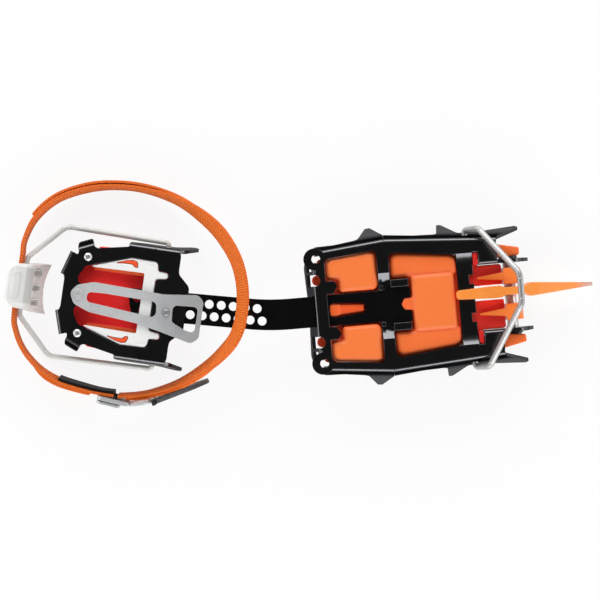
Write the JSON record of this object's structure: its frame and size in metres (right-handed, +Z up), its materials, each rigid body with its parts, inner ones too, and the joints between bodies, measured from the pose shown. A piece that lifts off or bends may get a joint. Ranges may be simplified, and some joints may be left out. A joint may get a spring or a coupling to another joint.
{
  "type": "mountaineering crampon",
  "caption": "Ice crampon for a right boot: bent toothed frames on a sliding linking bar, forged front point, toe and heel bails with a clamping lever, snow-shedding plates, ankle strap.",
  "frame": {"origin": "middle of the box round the metal and plastic pieces, on the ground that the points stand on", "axes": "+X forward to the point, +Y to the left of the foot, +Z up"},
  "size_m": [0.4041, 0.1546, 0.0619],
  "materials": {
    "black_frame": "semi-gloss black coat over bent steel sheet",
    "black_bar": "satin black coat",
    "orange_plate": "satin flexible plastic",
    "red_plate": "satin flexible plastic",
    "orange_spacer": "anodised orange",
    "orange_point": "orange powder coat, worn at the tip",
    "bright_steel": "turned bright steel",
    "dark_bolt": "blackened steel",
    "bail_wire": "satin stainless wire",
    "spring_steel": "brushed stainless sheet",
    "white_plate": "satin white plastic",
    "white_lever": "moulded white plastic",
    "brass_insert": "turned",
    "orange_webbing": "woven tubular webbing",
    "black_webbing": "woven black webbing",
    "black_tab": "ribbed moulded tab",
    "buckle_steel": "polished steel"
  },
  "bodies": {
    "front_section": {"front_frame": "black_frame", "front_antisnow": "orange_plate", "front_clip_nubs": "red_plate", "front_point": "orange_point", "point_axle": "bright_steel", "axle_head": "dark_bolt", "axle_nut": "dark_bolt", "left_spacer": "orange_spacer", "right_spacer": "orange_spacer", "linking_bar": "black_bar"},
    "toe_arch": {"toe_bail": "bail_wire"},
    "heel_section": {"heel_frame": "black_frame", "heel_antisnow": "red_plate", "heel_guide_plate": "white_plate", "heel_screws": "bright_steel", "screw_inserts": "brass_insert", "spring_root": "spring_steel", "spring_rivet": "bright_steel", "ankle_strap": "orange_webbing", "strap_keeper": "black_webbing", "buckle_plate": "buckle_steel", "buckle_loop": "buckle_steel", "pull_tab": "black_tab", "tab_collar": "buckle_steel"},
    "spring_leaf": {"size_spring": "spring_steel", "size_pin": "bright_steel"},
    "rear_bail": {"heel_bail": "bail_wire"},
    "lever": {"heel_lever": "white_lever"}
  },
  "joints": [
    {"name": "size_slide", "type": "slide", "parent": "front_section", "child": "heel_section", "axis": [0.996, -0.0889, 0], "range_m": [-0.0082, 0.041]},
    {"name": "toe_swing", "type": "hinge", "parent": "front_section", "child": "toe_arch", "pos_m": [0.11663, 0.00439, 0.02484], "axis": [0.0854, -0.9963, 0], "range_deg": [-10, 85]},
    {"name": "spring_lift", "type": "hinge", "parent": "heel_section", "child": "spring_leaf", "pos_m": [-0.14103, 0.00586, 0.0349], "axis": [-0.1426, -0.9898, 0], "range_deg": [0, 7], "stiffness_Nm_per_rad": 3},
    {"name": "heel_swing", "type": "hinge", "parent": "heel_section", "child": "rear_bail", "pos_m": [-0.0955, -0.0007, 0.024], "axis": [0.1426, 0.9898, 0], "range_deg": [0, 110], "deforming": ["ankle_strap"]},
    {"name": "lever_turn", "type": "hinge", "parent": "rear_bail", "child": "lever", "pos_m": [-0.18989, 0.0129, 0.019], "axis": [0.1426, 0.9898, 0], "range_deg": [-80, 15]}
  ]
}
